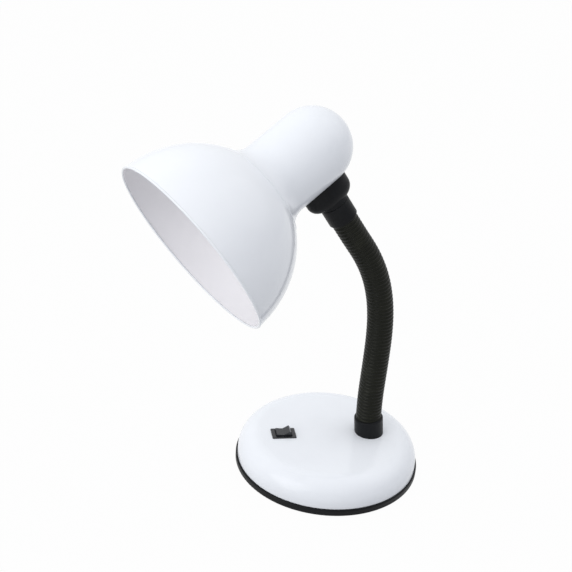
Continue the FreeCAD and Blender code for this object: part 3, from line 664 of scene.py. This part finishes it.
def matt_inside_finish():
    material, tree, shader = new_finish("matt_white_inside", Specular_IOR_Level=0.3)
    tone = use_effect(tree, patches, First=MATT_INSIDE, Second=MATT_INSIDE_SHADE, Size=0.03, Share=0.5,
                      Softness=0.3)
    surface = use_effect(tree, grain, Size=0.0005, Middle=0.62, Drift=0.1)
    laid_on(tree, shader, tone.outputs["Color"], surface, MATT_GRAIN_DEPTH)
    return material


bowl = turned_sheet("spun_shade", shade_outline(), head_place, BOWL_ROUND_STEPS)
bowl.data.materials.append(white_finish("white_enamel", ENAMEL, ENAMEL_SMEAR, ENAMEL_GLOSS, ENAMEL_WAVE))
bowl.data.materials.append(matt_inside_finish())
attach(bowl, "head")
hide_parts("shade")

# ------------------------------------------------------------------ desk, light and camera
# A plain pale desk stands in a surround that is brighter overhead and on the far side.  One large soft
# light stands in front, to the left of the camera, and a weak one high behind draws the edges.
DESK_SIZE = 60.0            # wide, so that its far edge shows only in low views
DESK_COLOR = (0.51, 0.515, 0.525, 1)
DESK_GLOW = 0.975           # share of plain white that the camera sees instead of the desk's shading
SURROUND_BRIGHT = (0.98, 0.985, 1.0, 1)
SURROUND_DIM = (0.42, 0.43, 0.48, 1)
BRIGHT_SIDE = (-0.46, -0.14, 0.88)   # direction in which the surround is brightest
DIM_UNDER = -0.6            # dimmest under this cosine to the bright side
BRIGHT_OVER = 0.9           # brightest over this one
KEY_AT = Vector((0.98, -1.55, 1.00))
KEY_SIZE = 1.7              # across its disc
KEY_POWER = 14.3            # watts
RIM_AT = Vector((-0.10, 1.35, 1.60))
RIM_SIZE = 1.9
RIM_POWER = 3.5
LIGHT_TARGET = Vector((0.0, -0.05, 0.17))   # both lights point at the middle of the lamp


def seen_directly(tree):
    """1 for camera, glossy and transmission rays, 0 for the light that falls on the object."""
    path = tree.nodes.new("ShaderNodeLightPath")
    total = path.outputs["Is Camera Ray"]
    for label in ("Is Glossy Ray", "Is Transmission Ray"):
        either = math_node(tree, "MAXIMUM")
        tree.links.new(total, either.inputs[0])
        tree.links.new(path.outputs[label], either.inputs[1])
        total = either.outputs[0]
    return total


def desk_finish():
    """Pale matt board, white where it is seen directly, and clear from below."""
    material, tree, shader = new_finish("desk_white", Base_Color=DESK_COLOR, Roughness=0.9,
                                        Specular_IOR_Level=0.1)
    glow = tree.nodes.new("ShaderNodeEmission")
    share = math_node(tree, "MULTIPLY", second=DESK_GLOW)
    mix = tree.nodes.new("ShaderNodeMixShader")
    tree.links.new(seen_directly(tree), share.inputs[0])
    tree.links.new(share.outputs[0], mix.inputs[0])
    tree.links.new(shader.outputs[0], mix.inputs[1])
    tree.links.new(glow.outputs[0], mix.inputs[2])
    side = tree.nodes.new("ShaderNodeNewGeometry")
    clear = tree.nodes.new("ShaderNodeBsdfTransparent")
    both = tree.nodes.new("ShaderNodeMixShader")
    tree.links.new(side.outputs["Backfacing"], both.inputs[0])
    tree.links.new(mix.outputs[0], both.inputs[1])
    tree.links.new(clear.outputs[0], both.inputs[2])
    tree.links.new(both.outputs[0], tree.nodes["Material Output"].inputs["Surface"])
    return material


def add_desk():
    half = DESK_SIZE / 2
    mesh = bpy.data.meshes.new("desk")
    corners = [(-half, -half, 0), (half, -half, 0), (half, half, 0), (-half, half, 0)]
    mesh.from_pydata(corners, [], [(0, 1, 2, 3)])
    mesh.materials.append(desk_finish())
    desk = bpy.data.objects.new("desk", mesh)
    bpy.context.scene.collection.objects.link(desk)


def add_surround():
    world = bpy.data.worlds.new("surround")
    world.use_nodes = True
    bpy.context.scene.world = world
    tree = world.node_tree
    place = tree.nodes.new("ShaderNodeTexCoord")
    facing = add_node(tree, "ShaderNodeVectorMath")
    facing.operation = "DOT_PRODUCT"
    facing.inputs[1].default_value = BRIGHT_SIDE
    share = add_node(tree, "ShaderNodeMapRange", From_Min=DIM_UNDER, From_Max=BRIGHT_OVER)
    share.interpolation_type = "SMOOTHSTEP"
    tone = tree.nodes.new("ShaderNodeMix")
    tone.data_type = "RGBA"
    tone.inputs["A"].default_value = SURROUND_DIM
    tone.inputs["B"].default_value = SURROUND_BRIGHT
    tree.links.new(place.outputs["Generated"], facing.inputs[0])
    tree.links.new(facing.outputs["Value"], share.inputs["Value"])
    tree.links.new(share.outputs["Result"], tone.inputs["Factor"])
    tree.links.new(tone.outputs["Result"], tree.nodes["Background"].inputs["Color"])


def add_softbox(name, at, size, power):
    light = bpy.data.lights.new(name, "AREA")
    light.shape = "DISK"
    light.size = size
    light.energy = power
    box = bpy.data.objects.new(name, light)
    box.location = at
    box.rotation_euler = (LIGHT_TARGET - at).to_track_quat("-Z", "Y").to_euler()
    bpy.context.scene.collection.objects.link(box)


CAMERA_DISTANCE = 0.9835    # from the centre of the base
CAMERA_ELEVATION = 35.4     # of the camera above the base, degrees
CAMERA_HEADING = 14.5       # how far the camera stands to the front of the lamp's +X side, degrees
CAMERA_ROLL = 6.14          # degrees
FRAME_WIDTH = 572           # pixels
FOCAL_LENGTH = 1092         # pixels
BASE_AT = (325.4, 459.4)    # where the centre of the base shows, pixels
SENSOR_WIDTH = 36.0


def add_camera():
    """Camera that shows the base's centre at BASE_AT, first aimed at it and then turned off it."""
    heading, elevation = math.radians(CAMERA_HEADING), math.radians(CAMERA_ELEVATION)
    level = Vector((math.cos(heading), -math.sin(heading), 0))
    at = (level * math.cos(elevation) + Vector((0, 0, math.sin(elevation)))) * CAMERA_DISTANCE
    aim = (-at).to_track_quat("-Z", "Y").to_matrix()
    right = (BASE_AT[0] - FRAME_WIDTH / 2) / FOCAL_LENGTH
    down = (BASE_AT[1] - FRAME_WIDTH / 2) / FOCAL_LENGTH
    turn_up = math.atan2(down, math.hypot(right, 1))
    turn_left = math.atan2(right, 1)
    offset = (Matrix.Rotation(math.radians(CAMERA_ROLL), 3, "Z") @ Matrix.Rotation(turn_up, 3, "X")
              @ Matrix.Rotation(turn_left, 3, "Y"))
    data = bpy.data.cameras.new("camera")
    data.sensor_width = SENSOR_WIDTH
    data.lens = FOCAL_LENGTH / FRAME_WIDTH * SENSOR_WIDTH
    camera = bpy.data.objects.new("camera", data)
    camera.matrix_world = Matrix.Translation(at) @ (aim @ offset).to_4x4()
    bpy.context.scene.collection.objects.link(camera)
    bpy.context.scene.camera = camera


add_desk()
add_surround()
add_softbox("key_softbox", KEY_AT, KEY_SIZE, KEY_POWER)
add_softbox("rim_softbox", RIM_AT, RIM_SIZE, RIM_POWER)
add_camera()
bpy.context.scene.view_settings.view_transform = "Standard"
